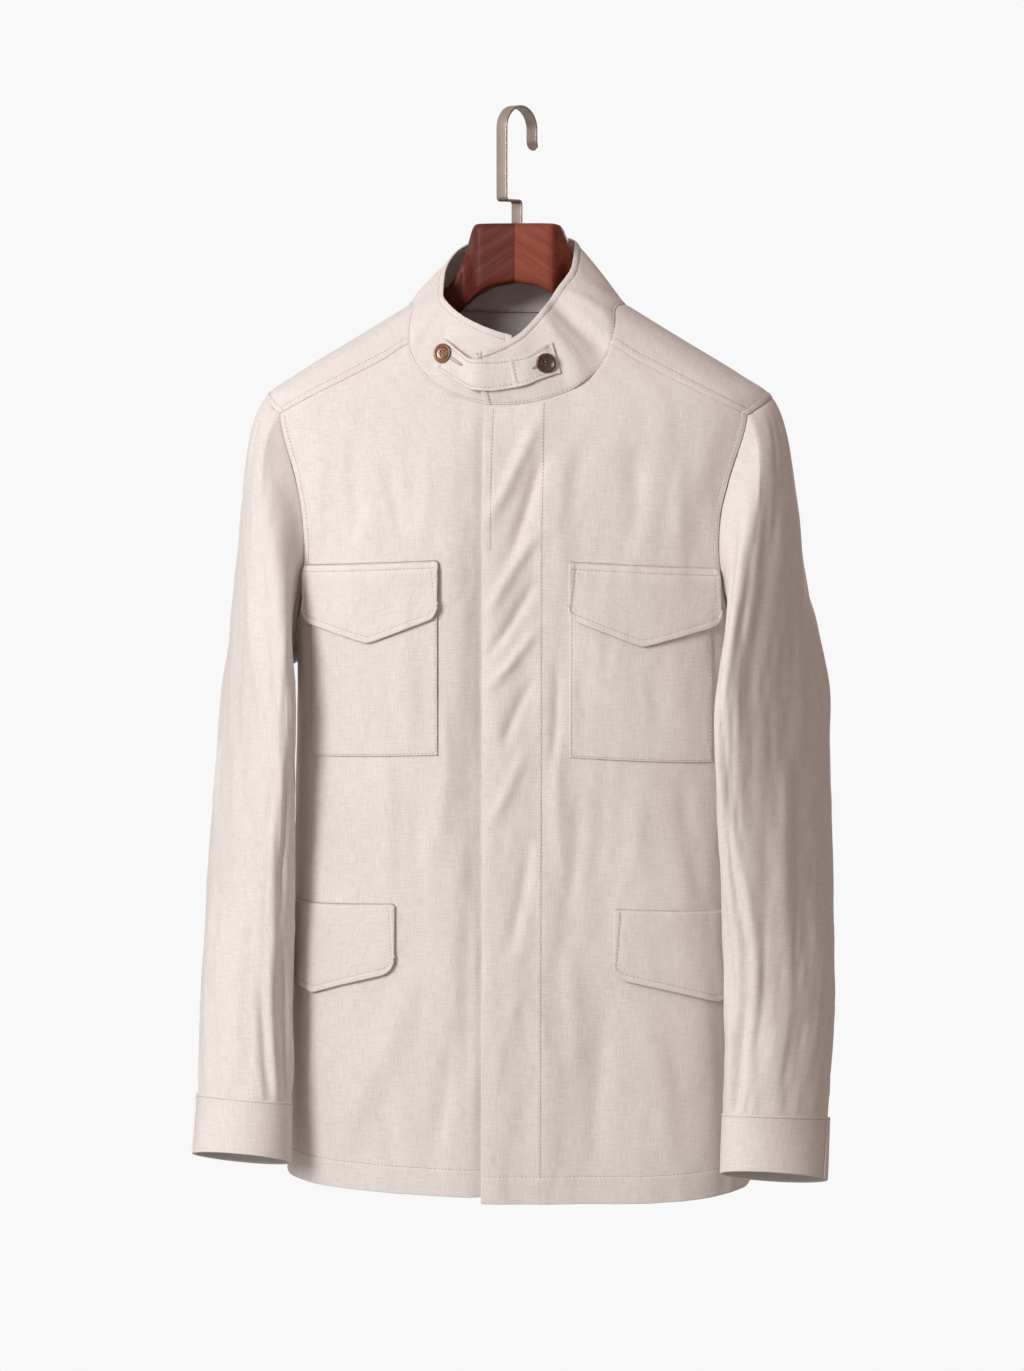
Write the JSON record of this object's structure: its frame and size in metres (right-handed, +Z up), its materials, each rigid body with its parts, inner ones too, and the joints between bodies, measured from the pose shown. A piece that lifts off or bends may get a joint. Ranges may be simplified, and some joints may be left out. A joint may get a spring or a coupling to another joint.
{
  "type": "field jacket on a clothes hanger",
  "caption": "Straight field jacket of plain linen with stand collar, chin tab, fly front, flapped pockets and banded cuffs, hung open at neck and hem on a wooden hanger with a flat strap hook.",
  "frame": {"origin": "top of the inside of the hook, where a clothes rail carries it", "axes": "+X towards the wearer's left, +Y towards the wearer's back, +Z up"},
  "size_m": [0.5758, 0.2014, 0.9658],
  "materials": {
    "linen": "matt plain weave with fine slubs",
    "button_left": "dark brown mottled horn, polished",
    "button_right": "amber brown mottled horn, polished",
    "mahogany": "reddish stain under satin varnish",
    "satin_nickel": "satin"
  },
  "bodies": {
    "root": {"front_left": "linen", "front_right": "linen", "back": "linen", "yoke": "linen", "collar": "linen", "sleeve_top_left": "linen", "sleeve_top_right": "linen", "sleeve_under_left": "linen", "sleeve_under_right": "linen", "cuff_left": "linen", "cuff_right": "linen", "chest_pocket_left": "linen", "chest_pocket_right": "linen", "chest_flap_left": "linen", "chest_flap_right": "linen", "lower_flap_left": "linen", "lower_flap_right": "linen", "chin_tab": "linen", "chin_tab_end": "linen", "button_left": "button_left", "button_right": "button_right", "hanger_arm_left": "mahogany", "hanger_arm_right": "mahogany", "hook": "satin_nickel"}
  },
  "joints": []
}
